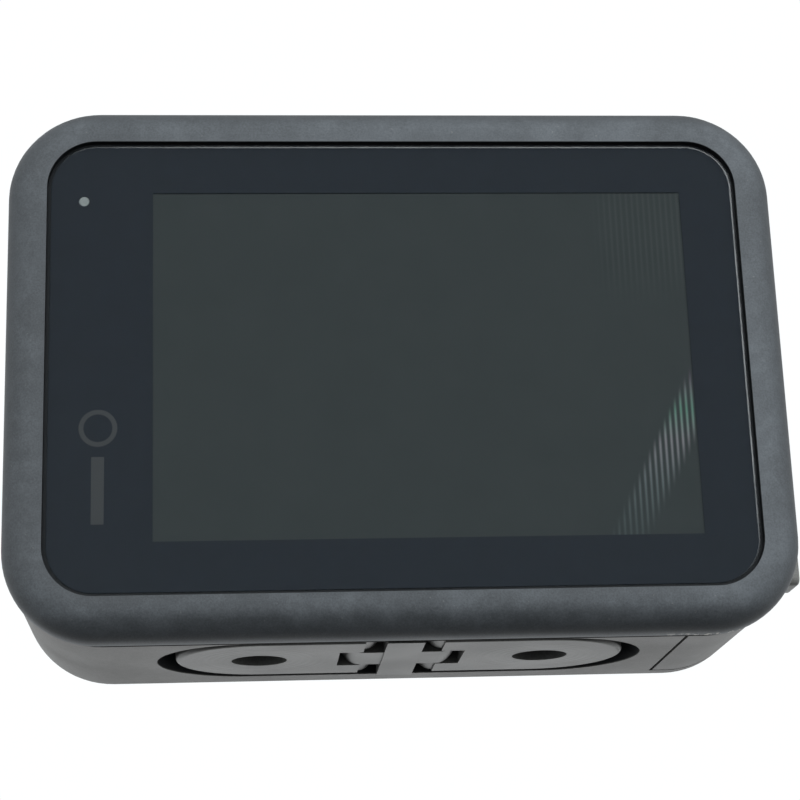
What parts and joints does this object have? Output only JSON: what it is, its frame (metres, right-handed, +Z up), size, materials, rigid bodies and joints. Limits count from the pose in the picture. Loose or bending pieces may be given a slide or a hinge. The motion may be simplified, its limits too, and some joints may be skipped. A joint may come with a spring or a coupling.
{
  "type": "action camera",
  "caption": "Pocket action camera with a rear screen, twist-off lens cover, side battery door and folding mount fingers under the base.",
  "frame": {"origin": "middle of the base plane, on the underside of the folding mount's centre bar", "axes": "+X to the right seen from the front, +Y towards the rear screen, +Z up"},
  "size_m": [0.0718, 0.0336, 0.0508],
  "materials": {
    "bezel_plastic": "slate grey with a fine texture",
    "body_rubber": "soft matte grey",
    "plate_plastic": "ribbed matte grey",
    "glass_clear": "polished cover glass",
    "ink_black": "printed border under the glass",
    "lcd_dark": "unlit screen",
    "gloss_black": "gloss black",
    "light_white": "translucent light pipe",
    "finger_plastic": "matte grey",
    "metal_plate": "satin",
    "steel": "brushed",
    "board_green": "circuit board",
    "lens_glass": "coated lens glass",
    "barrel_black": "matt black",
    "seal_rubber": "soft black",
    "battery_shell": "plain shell",
    "accent_red": "red ring",
    "sensor": "sensor face"
  },
  "bodies": {
    "camera": {"rear_bezel": "bezel_plastic", "rear_glass": "glass_clear", "screen_mask": "ink_black", "lcd_panel": "lcd_dark", "rear_status_light": "light_white", "rear_frame": "metal_plate", "frame_screws": "steel", "main_housing": "body_rubber", "front_plate": "plate_plastic", "front_window": "gloss_black", "front_lcd": "lcd_dark", "front_status_light": "light_white", "lens_mount_ring": "barrel_black", "lens_barrel": "barrel_black", "front_element": "lens_glass", "rear_elements": "lens_glass", "image_sensor": "sensor", "sensor_board": "board_green", "main_board": "board_green", "processor_shield": "steel", "heat_block": "metal_plate", "battery_contacts": "barrel_black", "battery": "battery_shell", "battery_tab": "light_white", "card_socket": "steel", "memory_card": "battery_shell", "charge_port": "steel", "shutter_switch": "board_green", "mode_switch": "board_green", "door_pin": "steel", "hinge_bracket": "finger_plastic", "bracket_screws": "steel", "hinge_pins": "steel", "speaker_mesh": "steel", "speaker": "barrel_black", "microphone": "steel"},
    "lens_cover": {"lens_cover_frame": "gloss_black", "lens_cover_glass": "glass_clear", "lens_cover_seal": "seal_rubber"},
    "shutter": {"shutter_button": "body_rubber", "shutter_ring": "accent_red"},
    "mode": {"mode_button": "body_rubber"},
    "door": {"battery_door": "body_rubber", "door_gasket": "seal_rubber"},
    "latch": {"door_latch": "finger_plastic"},
    "right_finger": {"finger_right": "finger_plastic"},
    "left_finger": {"finger_left": "finger_plastic"}
  },
  "joints": [
    {"name": "shutter_press", "type": "slide", "parent": "camera", "child": "shutter", "axis": [0, 0, -1], "range_m": [0, 0.0006], "stiffness_N_per_m": 600, "springref_m": -0.0006},
    {"name": "mode_press", "type": "slide", "parent": "camera", "child": "mode", "axis": [-1, 0, 0], "range_m": [0, 0.0005], "stiffness_N_per_m": 600, "springref_m": -0.0006},
    {"name": "door_swing", "type": "hinge", "parent": "camera", "child": "door", "pos_m": [-0.03377, 0, 0.0416], "axis": [0, 1, 0], "range_deg": [0, 90]},
    {"name": "latch_slide", "type": "slide", "parent": "door", "child": "latch", "axis": [0, 0, 1], "range_m": [0, 0.0015]},
    {"name": "finger_right_swing", "type": "hinge", "parent": "camera", "child": "right_finger", "pos_m": [0.0035, -0.0003, 0.0019], "axis": [0, 1, 0], "range_deg": [0, 90]},
    {"name": "finger_left_swing", "type": "hinge", "parent": "camera", "child": "left_finger", "pos_m": [-0.0035, -0.0003, 0.0019], "axis": [0, -1, 0], "range_deg": [0, 90]},
    {"name": "lens_cover_twist", "type": "hinge", "parent": "camera", "child": "lens_cover", "pos_m": [0.01738, -0.016, 0.03175], "axis": [0, -1, 0], "range_deg": [0, 40]}
  ]
}
